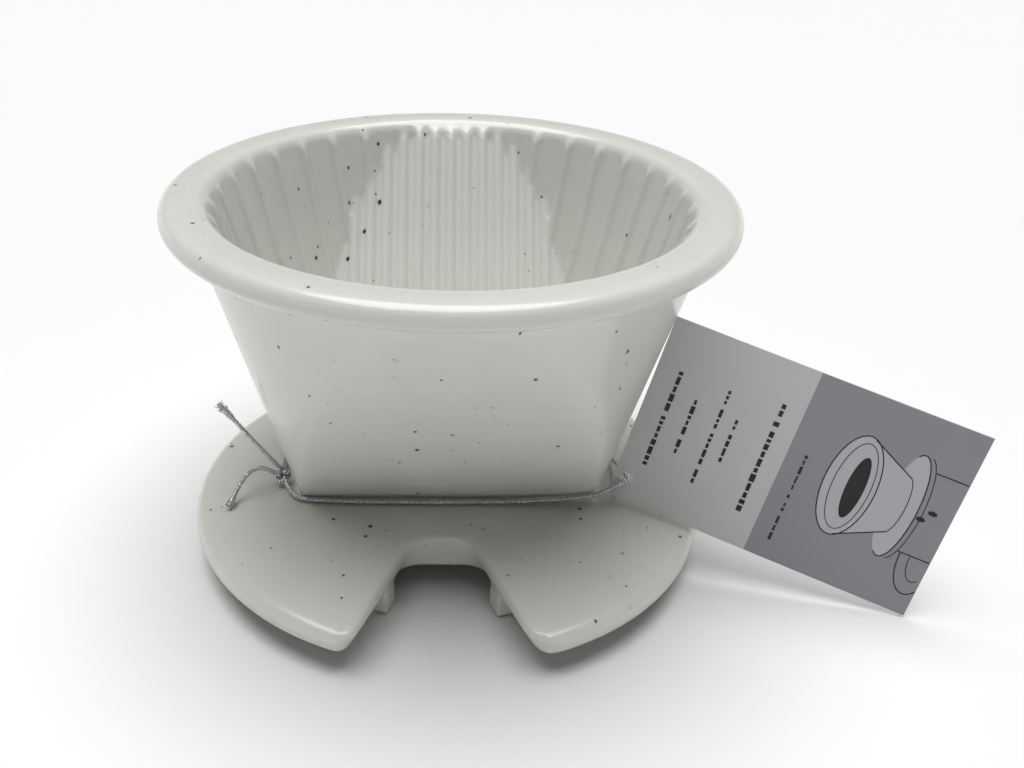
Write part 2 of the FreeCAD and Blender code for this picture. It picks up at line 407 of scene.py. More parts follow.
@dataclass(frozen=True)
class Studio:
    """Pale paper sweep that the dripper stands on."""

    tone: Sequence[float] = (0.78, 0.78, 0.78, 1.0)
    shade: Sequence[float] = (0.76, 0.76, 0.76, 1.0)

    def material(self) -> bpy.types.Material:
        """Builds the sweep.

        Returns:
            The material.
        """
        graph = Graph("studio_sweep")
        colour = graph.mix(graph.noise(8.0, 2.0) * 0.2, self.tone, self.shade)
        return graph.finish({"Base Color": colour, "Roughness": 0.9})


# ---------------------------------------------------------------------------------------------
# Modelling by operators
# ---------------------------------------------------------------------------------------------


def deselect() -> None:
    """Leaves edit mode and clears the selection."""
    if bpy.context.object and bpy.context.object.mode != "OBJECT":
        bpy.ops.object.mode_set(mode="OBJECT")
    bpy.ops.object.select_all(action="DESELECT")


def activate(piece: bpy.types.Object) -> bpy.types.Object:
    """Selects one object and makes it active.

    Args:
        piece: The object.

    Returns:
        The same object.
    """
    deselect()
    piece.select_set(True)
    bpy.context.view_layer.objects.active = piece
    return piece


def settle(piece: bpy.types.Object) -> bpy.types.Object:
    """Moves an object's place, turn and size into its mesh.

    Args:
        piece: The object.

    Returns:
        The same object.
    """
    activate(piece)
    bpy.ops.object.transform_apply(location=True, rotation=True, scale=True)
    return piece


def edit(piece: bpy.types.Object, *steps: Callable[[], object]) -> None:
    """Runs operators in edit mode.

    Args:
        piece: The object.
        steps: Calls to make, in order.
    """
    activate(piece)
    bpy.ops.object.mode_set(mode="EDIT")
    for step in steps:
        step()
    bpy.ops.object.mode_set(mode="OBJECT")


def modify(piece: bpy.types.Object, kind: str, **settings: object) -> None:
    """Adds a modifier and applies it.

    Args:
        piece: The object.
        kind: The modifier's type.
        settings: Its attributes.
    """
    activate(piece)
    modifier = piece.modifiers.new(kind.lower(), kind)
    for key, value in settings.items():
        setattr(modifier, key, value)
    bpy.ops.object.modifier_apply(modifier=modifier.name)


def cut(piece: bpy.types.Object, tool: bpy.types.Object, operation: str = "DIFFERENCE") -> None:
    """Cuts or joins with another solid, which is then removed.

    Args:
        piece: The object that stays.
        tool: The other solid.
        operation: The Boolean modifier's operation.
    """
    modify(piece, "BOOLEAN", object=tool, operation=operation, solver="EXACT")
    bpy.data.objects.remove(tool, do_unlink=True)


def join(pieces: Sequence[bpy.types.Object], name: str) -> bpy.types.Object:
    """Joins objects into the first.

    Args:
        pieces: The objects.
        name: The joined object's name.

    Returns:
        The joined object.
    """
    deselect()
    for piece in pieces:
        piece.select_set(True)
    bpy.context.view_layer.objects.active = pieces[0]
    bpy.ops.object.join()
    pieces[0].name = name
    pieces[0].data.name = name
    return pieces[0]


def spun(name: str, outline: Sequence[tuple[float, float]], steps: int) -> bpy.types.Object:
    """Spins a closed outline round the Z axis into a solid ring or disc.

    Args:
        name: The object's name.
        outline: (radius, height) points in millimetres, in order round the outline.
        steps: How many steps the turn takes.

    Returns:
        The solid.
    """
    deselect()
    radius, height = outline[0]
    bpy.ops.mesh.primitive_plane_add(size=MM, location=(radius * MM, 0, height * MM))
    piece = settle(bpy.context.object)
    piece.name = name
    bpy.ops.object.mode_set(mode="EDIT")
    bpy.ops.mesh.merge(type="CENTER")
    for before, after in zip(outline, outline[1:]):
        step = ((after[0] - before[0]) * MM, 0, (after[1] - before[1]) * MM)
        bpy.ops.mesh.extrude_region_move(TRANSFORM_OT_translate={"value": step})
    bpy.ops.mesh.select_all(action="SELECT")
    bpy.ops.mesh.edge_face_add()
    bpy.ops.mesh.delete(type="ONLY_FACE")
    bpy.ops.mesh.select_all(action="SELECT")
    bpy.ops.mesh.spin(steps=steps, angle=TURN, center=(0, 0, 0), axis=(0, 0, 1))
    bpy.ops.mesh.select_all(action="SELECT")
    bpy.ops.mesh.remove_doubles(threshold=0.002 * MM)
    bpy.ops.mesh.normals_make_consistent(inside=False)
    bpy.ops.object.mode_set(mode="OBJECT")
    return piece


def rod(start: Vector, end: Vector, radius: float, name: str, sides: int = 20) -> bpy.types.Object:
    """Round bar between two points, with flat ends.

    Args:
        start: First end of its axis.
        end: Other end of its axis.
        radius: Its radius.
        name: The object's name.
        sides: How many sides it has.

    Returns:
        The bar.
    """
    reach = end - start
    deselect()
    turn = reach.to_track_quat("Z", "Y").to_euler()
    bpy.ops.mesh.primitive_cylinder_add(
        vertices=sides, radius=radius, depth=reach.length, location=(start + end) / 2, rotation=turn)
    piece = bpy.context.object
    piece.name = name
    return piece


def prism(name: str, outline: Sequence[tuple[float, float]], low: float, high: float) -> bpy.types.Object:
    """Upright prism on a plan outline.

    Args:
        name: The object's name.
        outline: (x, y) points in metres, anticlockwise.
        low: Height of its base in metres.
        high: Height of its top in metres.

    Returns:
        The solid.
    """
    deselect()
    x, y = outline[0]
    bpy.ops.mesh.primitive_plane_add(size=MM, location=(x, y, low))
    piece = settle(bpy.context.object)
    piece.name = name
    bpy.ops.object.mode_set(mode="EDIT")
    bpy.ops.mesh.merge(type="CENTER")
    for before, after in zip(outline, outline[1:]):
        step = (after[0] - before[0], after[1] - before[1], 0)
        bpy.ops.mesh.extrude_region_move(TRANSFORM_OT_translate={"value": step})
    bpy.ops.mesh.select_all(action="SELECT")
    bpy.ops.mesh.edge_face_add()
    bpy.ops.mesh.extrude_region_move(TRANSFORM_OT_translate={"value": (0, 0, high - low)})
    bpy.ops.mesh.select_all(action="SELECT")
    bpy.ops.mesh.normals_make_consistent(inside=False)
    bpy.ops.object.mode_set(mode="OBJECT")
    return piece


def wear(piece: bpy.types.Object, material: bpy.types.Material) -> bpy.types.Object:
    """Gives a piece one material all over.

    Args:
        piece: The object.
        material: Its finish.

    Returns:
        The same object.
    """
    piece.data.materials.clear()
    piece.data.materials.append(material)
    return piece


def arc_points(
    centre: tuple[float, float], radius: float, start: float, end: float, count: int
) -> list[tuple[float, float]]:
    """Points along an arc in a plane.

    Args:
        centre: The arc's centre.
        radius: Its radius.
        start: First angle in degrees.
        end: Last angle in degrees.
        count: How many points.

    Returns:
        The points, ends included.
    """
    angles = [math.radians(start + (end - start) * step / (count - 1)) for step in range(count)]
    return [(centre[0] + radius * math.cos(a), centre[1] + radius * math.sin(a)) for a in angles]


# ---------------------------------------------------------------------------------------------
# The ceramic body
# ---------------------------------------------------------------------------------------------


@dataclass
class Ceramic:
    """The fired body in one skin: cup, rolled rim, ribs, floor, saucer and foot ring.

    Sizes are in millimetres. Each of the notch's cuts has its extra width on each side and its top.
    """

    glaze: Glaze
    voxel: float = 0.42
    height: float = 83.5
    saucer_top: float = 13.5
    rim_joint: float = 76.0
    base_radius: float = 34.6
    cone_slope: float = 0.2938
    flat_depth: float = 11.1
    flat_slope: float = 0.6698
    inner_flat_slope: float = 0.6365
    wall: float = 4.6
    floor_under: float = 5.5
    floor_top: float = 12.0
    saucer_radius: float = 57.9
    saucer_edge: float = 2.7
    saucer_droop: float = 2.6
    saucer_inner: float = 4.0
    foot_outer: float = 37.0
    foot_inner: float = 32.3
    foot_gap: float = 1.6
    hole_radius: float = 2.6
    hole_pitch: float = 16.0
    notch_x: float = -1.5
    notch_back: float = 25.5
    notch_half: float = 6.5
    notch_flare: float = 0.377
    notch_corner: float = 5.5
    notch_tip: float = 4.5
    notch_cuts: tuple[tuple[float, float], ...] = ((0.0, 25.0), (1.1, 8.8), (2.0, 7.3))
    bead_centre: float = 57.12
    bead_radius: float = 2.72
    rib_radius: float = 1.06
    rib_count: int = 14
    rib_first: float = 25.0
    rib_step: float = 10.0
    rib_reach: float = 2.6
    rib_end_radius: float = 1.0
    panel_ribs: int = 13
    panel_pitch: float = 3.9
    panel_rib_radius: float = 1.2
    lip: tuple[float, float] = (52.5, 82.2)
    triangles: int = 190000
    nodes: tuple[str, ...] = (
        "front_panel", "rear_panel", "left_end_wall", "right_end_wall", "rolled_rim", "cup_floor",
        "saucer_flange", "foot_ring", "left_side_ribs", "right_side_ribs", "front_panel_ribs",
        "rear_panel_ribs",
    )

    def cone(self, z: float, inset: float = 0.0) -> float:
        """Radius of the cup's round ends at a height."""
        return self.base_radius + self.cone_slope * (z - self.saucer_top) - inset

    def slope(self, inset: float) -> float:
        """Slope of the outer flats, or of the inner ones from the wall's thickness in."""
        return self.flat_slope if inset < self.wall else self.inner_flat_slope

    def flat(self, z: float, inset: float = 0.0) -> float:
        """Distance of the cup's flats from the middle at a height."""
        return self.flat_depth + self.slope(inset) * (z - self.saucer_top) - inset

    def wedge_cone(self, name: str, inset: float, low: float, high: float) -> bpy.types.Object:
        """Cone cut by the two sloping flats.

        Args:
            name: The object's name.
            inset: How far it is drawn in from the cup's outside.
            low: Height of its base.
            high: Height of its top.

        Returns:
            The solid.
        """
        deselect()
        bpy.ops.mesh.primitive_cone_add(
            vertices=360, radius1=self.cone(low, inset) * MM, radius2=self.cone(high, inset) * MM,
            depth=(high - low) * MM, location=(0, 0, (low + high) / 2 * MM), end_fill_type="NGON")
        piece = settle(bpy.context.object)
        piece.name = name
        bpy.ops.object.mode_set(mode="EDIT")
        for side in (-1, 1):
            bpy.ops.mesh.select_all(action="SELECT")
            bpy.ops.mesh.bisect(
                plane_co=(0, side * self.flat(self.saucer_top, inset) * MM, self.saucer_top * MM),
                plane_no=(0, side, -self.slope(inset)), use_fill=True, clear_outer=True)
        bpy.ops.object.mode_set(mode="OBJECT")
        return piece

    def cup(self) -> bpy.types.Object:
        """The cup with its floor and saucer, hollowed and drilled for the drip.

        Returns:
            The solid.
        """
        outer = self.wedge_cone("cup", 0.0, self.floor_under, self.height - 1.5)
        cut(outer, self.saucer(), "UNION")
        cut(outer, self.wedge_cone("hollow", self.wall, self.floor_top, self.height + 2.0))
        for place in (-1, 0, 1):
            x = place * self.hole_pitch * MM
            low, high = Vector((x, 0, -self.floor_under * MM)), Vector((x, 0, 4 * self.floor_under * MM))
            cut(outer, rod(low, high, self.hole_radius * MM, "drill", 48))
        return outer

    def rim(self) -> bpy.types.Object:
        """The rolled rim, whose root is buried in the cup's wall.

        Returns:
            The ring.
        """
        top = self.height
        inner = [(self.cone(z, self.wall - 0.7), z) for z in (self.rim_joint, 80.5)]
        inner += [(50.42, 82.0), (50.62, 82.5)]
        crown = [(51.0, 82.9), (51.6, 83.22), (52.3, 83.4), (53.2, top), (55.0, top), (56.8, top)]
        bead = arc_points((self.bead_centre, top - self.bead_radius), self.bead_radius, 84, -80, 15)
        under = [(56.6, top - 5.42), (55.7, top - 5.4), (54.9, top - 5.5), (54.2, top - 5.8)]
        root = [(self.cone(z, depth), z) for z, depth in ((77.1, -0.25), (76.6, 0.05), (75.8, 2.6))]
        return spun("rim", inner + crown + bead + under + root, 300)

    def saucer(self) -> bpy.types.Object:
        """The drooping saucer with its sight notch.

        Returns:
            The disc.
        """
        top = self.saucer_top - self.saucer_droop
        brink = self.saucer_radius - self.saucer_edge
        outline = [(self.saucer_inner, self.floor_under), (brink, self.floor_under)]
        outline += arc_points((brink, (self.floor_under + top) / 2), self.saucer_edge, -80, 80, 13)
        for step in range(1, 12):
            radius = brink - step * 2.0
            outline.append((radius, self.droop(radius)))
        outline += [(30.0, self.saucer_top), (self.saucer_inner, self.saucer_top)]
        disc = spun("saucer", outline, 300)
        for extra, high in self.notch_cuts:
            cut(disc, self.notch_tool(extra, high))
        return disc

    def droop(self, radius: float) -> float:
        """Height of the saucer's upper face.

        Args:
            radius: Distance from the axis.

        Returns:
            The height.
        """
        brink = self.saucer_radius - self.saucer_edge
        share = max(0.0, (radius - self.base_radius) / (brink - self.base_radius))
        return self.saucer_top - self.saucer_droop * share ** 1.55

    def notch_half_at(self, depth: float, extra: float = 0.0) -> float:
        """Half width of the notch at a distance in front of the axis."""
        return self.notch_half + self.notch_flare * (depth - self.notch_back) + extra

    def notch_tool(self, extra: float, high: float) -> bpy.types.Object:
        """The notch's own shape, with round back corners and round tips at the saucer's edge.

        Args:
            extra: How much wider it is on each side.
            high: Height of its top.

        Returns:
            The cutting solid.
        """
        corner, tip = self.notch_corner, self.notch_tip
        normal = math.hypot(1.0, self.notch_flare)
        lean = math.degrees(math.atan(self.notch_flare))
        centre_x = self.notch_half_at(self.notch_back + corner, extra) - corner * normal
        half = arc_points((centre_x, -self.notch_back - corner), corner, 90, lean, 8)
        depth = self.saucer_radius
        for _ in range(40):
            across = self.notch_half_at(depth, extra) + tip * normal
            depth = math.sqrt((self.saucer_radius - tip) ** 2 - across ** 2)
        across = self.notch_half_at(depth, extra) + tip * normal
        outward = math.degrees(math.atan2(-depth, across))
        half += arc_points((across, -depth), tip, 180 + lean, 360 + outward, 9)
        half.append((half[-1][0], -70.0))
        right = [((self.notch_x + x) * MM, y * MM) for x, y in half]
        left = [((self.notch_x - x) * MM, y * MM) for x, y in reversed(half)]
        return prism("notch", right + left, -5 * MM, high * MM)

    def foot(self) -> bpy.types.Object:
        """The foot ring, cut by the notch.

        Returns:
            The ring.
        """
        top = self.floor_under + 1.0
        outline = [
            (self.foot_inner + 0.4, 0.0), (self.foot_outer - 0.5, 0.0), (self.foot_outer - 0.1, 0.2),
            (self.foot_outer, 0.6), (self.foot_outer, top), (self.foot_inner, top),
            (self.foot_inner, 0.4),
        ]
        ring = spun("foot", outline, 240)
        near = self.notch_half_at(self.notch_back, self.foot_gap)
        far = self.notch_half_at(self.saucer_radius, self.foot_gap)
        plan = [
            (self.notch_x + near, -self.notch_back), (self.notch_x - near, -self.notch_back),
            (self.notch_x - far, -self.saucer_radius), (self.notch_x + far, -self.saucer_radius),
        ]
        gap = prism("gap", [(x * MM, y * MM) for x, y in plan], -5 * MM, (top + 2) * MM)
        cut(ring, gap)
        return ring

    def side_ribs(self) -> list[bpy.types.Object]:
        """Slim ribs round both ends, up into the rim.

        Returns:
            The ribs.
        """
        ribs = []
        for side in (-1, 1):
            for index in range(self.rib_count):
                angle = math.radians(self.rib_first + index * self.rib_step)
                out = Vector((side * math.sin(angle), math.cos(angle), 0))
                low = self.floor_top + 1.0
                while low < 70 and (
                    self.cone(low, self.wall) * abs(out.y) > self.flat(low, self.wall / 2)
                ):
                    low += 0.5
                start, end = [
                    (out * (self.cone(z, self.wall - 0.12) * MM)) + Vector((0, 0, z * MM))
                    for z in (low, self.height - self.rib_reach)
                ]
                over = out * self.lip[0] * MM + Vector((0, 0, self.lip[1] * MM))
                ribs.append(rod(start, end, self.rib_radius * MM, "side_rib", 16))
                ribs.append(rod(end, over, self.rib_end_radius * MM, "rib_end", 16))
        return ribs

    def flat_ribs(self) -> list[bpy.types.Object]:
        """Upright ribs on both inner flats, ending in the round wall.

        Returns:
            The ribs.
        """
        ribs = []
        for side in (-1, 1):
            for index in range(self.panel_ribs):
                x = (index - (self.panel_ribs - 1) / 2) * self.panel_pitch
                high = self.height - self.rib_reach
                while math.hypot(x, self.flat(high, self.wall + 0.7)) > self.cone(high, self.wall - 0.3):
                    high -= 0.25
                start, end = [
                    Vector((x * MM, side * self.flat(z, self.wall) * MM, z * MM))
                    for z in (self.floor_top - 0.5, high)
                ]
                ribs.append(rod(start, end, self.panel_rib_radius * MM, "flat_rib", 16))
                if high > self.height - 3.0:
                    over = Vector((x, side * math.sqrt(self.lip[0] ** 2 - x * x), self.lip[1])) * MM
                    ribs.append(rod(end, over, self.rib_end_radius * MM, "rib_end", 16))
        return ribs

    def build(self) -> bpy.types.Object:
        """Joins the sections, fuses them into one skin and softens it as the glaze does.

        Returns:
            The body.
        """
        sections = [self.cup(), self.rim(), self.foot()]
        body = join(sections + self.side_ribs() + self.flat_ribs(), "glazed_body")
        settle(body)
        modify(body, "REMESH", mode="VOXEL", voxel_size=self.voxel * MM, use_smooth_shade=True)
        LOG.info("fused skin has %d faces", len(body.data.polygons))
        self.soften(body)
        modify(body, "DECIMATE", ratio=min(1.0, self.triangles / (2 * len(body.data.polygons))))
        activate(body)
        bpy.ops.object.shade_smooth()
        return body

    def soften(self, body: bpy.types.Object) -> None:
        """Rounds the edges: little on the ribs, more on the saucer, foot and outer wall.

        Args:
            body: The fused skin.
        """
        modify(body, "SMOOTH", factor=0.5, iterations=4)
        middle, reach = self.wall / 2, 6.0
        outer, rounder = [], []
        for vertex in body.data.vertices:
            x, y, z = vertex.co / MM
            radius = math.hypot(x, y)
            outside = self.cone(z, middle) < radius or self.flat(z, middle) < abs(y)
            if z > self.floor_under - 0.8 and (outside or z > self.height - 3.4):
                outer.append(vertex.index)
            shoulder = abs(radius - self.cone(z)) < reach and abs(abs(y) - self.flat(z)) < reach
            side = abs(x - self.notch_x) - self.notch_half_at(-y)
            notch = -3.0 < side < 3.5 and -y > self.notch_back - 3.0
            low_down = self.floor_under + 0.3 < z < self.saucer_top + 1.0
            root = self.rim_joint - 2.0 < z < self.rim_joint + 2.0
            if notch and low_down or outside and (root or 20 < z < 71 and shoulder):
                rounder.append(vertex.index)
        for name, chosen, rounds in (("outer", outer, 26), ("rounder", rounder, 110)):
            body.vertex_groups.new(name=name).add(chosen, 1.0, "REPLACE")
            modify(body, "SMOOTH", factor=0.5, iterations=rounds, vertex_group=name)
        body.vertex_groups.clear()

    def dress(self) -> bpy.types.Object:
        """Builds, glazes and places the body.

        Returns:
            The finished piece.
        """
        body = wear(self.build(), self.glaze.material())
        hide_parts(*self.nodes)
        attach(body, Body.DRIPPER.value)
        return body


# ---------------------------------------------------------------------------------------------
# The elastic cord
# ---------------------------------------------------------------------------------------------


def smooth_line(name: str, route: Sequence[Point], resolution: int = 64) -> list[Vector]:
    """Reads the smooth line of a route from its NURBS spline.

    Args:
        name: The spline's name.
        route: Control points in metres.
        resolution: Points for each stretch of the spline.

    Returns:
        Points along the line.
    """
    data = bpy.data.curves.new(name, "CURVE")
    data.dimensions = "3D"
    data.resolution_u = resolution
    spline = data.splines.new("NURBS")
    spline.points.add(len(route) - 1)
    for point, place in zip(spline.points, route):
        point.co = (*place, 1.0)
    spline.order_u = 3
    spline.use_endpoint_u = True
    holder = bpy.data.objects.new(name, data)
    bpy.context.scene.collection.objects.link(holder)
    bpy.context.view_layer.update()
    mesh = bpy.data.meshes.new_from_object(holder)
    line = [vertex.co.copy() for vertex in mesh.vertices]
    bpy.data.meshes.remove(mesh)
    bpy.data.objects.remove(holder, do_unlink=True)
    return line


def even_steps(line: Sequence[Vector], step: float) -> list[Vector]:
    """Points at an even distance along a line.

    Args:
        line: Points of the line.
        step: Distance in metres.

    Returns:
        The points, both ends included.
    """
    reach = [0.0]
    for before, after in zip(line, line[1:]):
        reach.append(reach[-1] + (after - before).length)
    count = max(2, round(reach[-1] / step))
    places, index = [], 0
    for number in range(count + 1):
        target = reach[-1] * number / count
        while index < len(line) - 2 and reach[index + 1] < target:
            index += 1
        span = reach[index + 1] - reach[index]
        share = (target - reach[index]) / span if span > 0 else 0.0
        places.append(line[index].lerp(line[index + 1], share))
    return places


@dataclass
class Winding:
    """Round cord whose silver thread winds round it in raised lays. Sizes in metres."""

    radius: float = 0.5 * MM
    lays: int = 3
    relief: float = 0.035
    twist: float = 3.6 * MM
    sides: int = 20
    step: float = 0.17 * MM

    def tube(
        self, name: str, line: Sequence[Vector], taper: Callable[[float], float] | None = None,
        closed: bool = False,
    ) -> bpy.types.Object:
        """Sweeps the wound section along a line.

        Args:
            name: The tube's name.
            line: Points along the line.
            taper: Gives the radius's share from the share of the way along.
            closed: Whether the line's end meets its start.

        Returns:
            The closed tube, with its UV map along and round it.
        """
        path = even_steps([*line, line[0]] if closed else line, self.step)
        mesh = bmesh.new()
        uv = mesh.loops.layers.uv.new("wound")
        across = (path[1] - path[0]).orthogonal().normalized()
        rings = []
        for index, centre in enumerate(path):
            ahead = (path[min(index + 1, len(path) - 1)] - path[max(index - 1, 0)]).normalized()
            across = (across - ahead * across.dot(ahead)).normalized()
            beside = ahead.cross(across)
            share = index / (len(path) - 1)
            radius = self.radius * (taper(share) if taper else 1.0)
            ring = []
            for side in range(self.sides):
                angle = TURN * side / self.sides
                lay = math.cos(self.lays * angle - TURN * index * self.step / self.twist * self.lays)
                out = across * math.cos(angle) + beside * math.sin(angle)
                ring.append(mesh.verts.new(centre + out * radius * (1 + self.relief * lay)))
            rings.append(ring)
        for row, (near, far) in enumerate(zip(rings, rings[1:])):
            for side in range(self.sides):
                turn = (side + 1) % self.sides
                face = mesh.faces.new((near[side], near[turn], far[turn], far[side]))
                face.smooth = True
                corners = ((side, row), (side + 1, row), (side + 1, row + 1), (side, row + 1))
                for loop, (around, along) in zip(face.loops, corners):
                    loop[uv].uv = (along * self.step / MM, around / self.sides)
        for ring, flip in ((rings[0], True), (rings[-1], False)):
            mesh.faces.new(reversed(ring) if flip else ring)
        data = bpy.data.meshes.new(name)
        mesh.to_mesh(data)
        mesh.free()
        piece = bpy.data.objects.new(name, data)
        bpy.context.scene.collection.objects.link(piece)
        return piece


@dataclass
class TagCord:
    """The silver elastic: a taut loop round the cup's foot, its knot and two tails.

    Routes are control points in metres.
    """

    thread: SilverThread
    winding: Winding = field(default_factory=Winding)
    diameter: float = 1.0 * MM
    loop_length: float = 0.198
    loop_route: tuple[Point, ...] = (
        (-0.0372, -0.0066, 0.0153), (-0.0356, -0.0108, 0.0146), (-0.0314, -0.0139, 0.0143),
        (0.0296, -0.0137, 0.0143), (0.0389, -0.0152, 0.0209), (0.0399, -0.0121, 0.0203),
        (0.0397, -0.0066, 0.0182), (0.0393, 0.0009, 0.0157), (0.0376, 0.0086, 0.0145),
        (0.0323, 0.0146, 0.0143), (-0.0321, 0.0148, 0.0143), (-0.0370, 0.0094, 0.0144),
        (-0.0387, 0.0024, 0.0148), (-0.0380, -0.0036, 0.0157),
    )
    upper_route: tuple[Point, ...] = (
        (-0.0382, -0.0052, 0.0173), (-0.0426, -0.0055, 0.0231), (-0.0483, -0.0051, 0.0305),
    )
    lower_route: tuple[Point, ...] = (
        (-0.0389, -0.0059, 0.0162), (-0.0413, -0.0063, 0.0183), (-0.0441, -0.0070, 0.0185),
        (-0.0467, -0.0089, 0.0163), (-0.0480, -0.0112, 0.0139),
    )
    knot_centre: Point = (-0.0378, -0.0057, 0.0160)
    knot_size: float = 0.5 * MM
    knot_stretch: float = 1.3
    upper_tip: Point = (-0.0511, -0.0050, 0.0341)
    lower_tip: Point = (-0.0487, -0.0136, 0.0130)

    def knot(self) -> bpy.types.Object:
        """The overhand knot, drawn tight.

        Returns:
            The knot.
        """
        line = []
        lean = Matrix.Rotation(0.7, 3, "Y") @ Matrix.Rotation(1.1, 3, "X")
        for index in range(120):
            angle = TURN * index / 120
            place = Vector((
                math.sin(angle) + 2 * math.sin(2 * angle),
                math.cos(angle) - 2 * math.cos(2 * angle),
                -1.15 * math.sin(3 * angle),
            ))
            place = lean @ place * self.knot_size
            place.y *= self.knot_stretch
            line.append(Vector(self.knot_centre) + place)
        return self.winding.tube("cord_knot_tied", line, closed=True)

    def tip(self, name: str, start: Vector, end: Vector, swell: float, hairs: int) -> bpy.types.Object:
        """A cut end: a swollen sealed plug with loose thread ends.

        Args:
            name: The piece's name.
            start: Where the cord runs into it.
            end: Its far end.
            swell: How much thicker it is than the cord.
            hairs: How many loose ends it has.

        Returns:
            The tip.
        """
        reach = end - start
        body = self.winding.tube(
            name, [start - reach * 0.15, start + reach * 0.4, end],
            lambda share: 0.9 + (swell - 0.9) * math.sin(math.pi * min(share * 1.25, 0.86)))
        side = reach.orthogonal().normalized()
        parts = [body]
        hair = Winding(radius=0.1 * MM, relief=0.0, sides=6, step=0.3 * MM)
        for _ in range(hairs):
            out = Matrix.Rotation(random.uniform(0, TURN), 3, reach.normalized()) @ side
            root = start + reach * random.uniform(0.45, 0.9) + out * 0.35 * MM
            bend = root + out * random.uniform(0.3, 0.6) * MM + reach.normalized() * 0.3 * MM
            tip = bend + out * random.uniform(-0.2, 0.4) * MM
            tip += reach.normalized() * random.uniform(0.4, 1.0) * MM
            parts.append(hair.tube("hair", [root, bend, tip], lambda share: 1.0 - 0.5 * share))
        return join(parts, name)

    def dress(self) -> None:
        finish = self.thread.material()
        line = smooth_line("loop_route", self.loop_route)
        loop = self.winding.tube("tag_cord_wound", line)
        upper = self.winding.tube("upper_tail_wound", smooth_line("upper_route", self.upper_route))
        lower = self.winding.tube("lower_tail_wound", smooth_line("lower_route", self.lower_route))
        knot = self.knot()
        upper_tip = self.tip(
            "upper_tip_frayed", Vector(self.upper_route[-1]), Vector(self.upper_tip), 1.5, 20)
        lower_tip = self.tip(
            "lower_tip_frayed", Vector(self.lower_route[-1]), Vector(self.lower_tip), 1.4, 16)
        stand_ins = {
            loop: "tag_cord", upper: "upper_cord_tail", lower: "lower_cord_tail", knot: "cord_knot",
            upper_tip: "upper_cord_tip", lower_tip: "lower_cord_tip",
        }
        for piece, node in stand_ins.items():
            wear(piece, finish)
            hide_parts(node)
            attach(piece, Body.DRIPPER.value)
            LOG.info("%s: %d faces", piece.name, len(piece.data.polygons))


# ---------------------------------------------------------------------------------------------
# The hang tag
# ---------------------------------------------------------------------------------------------


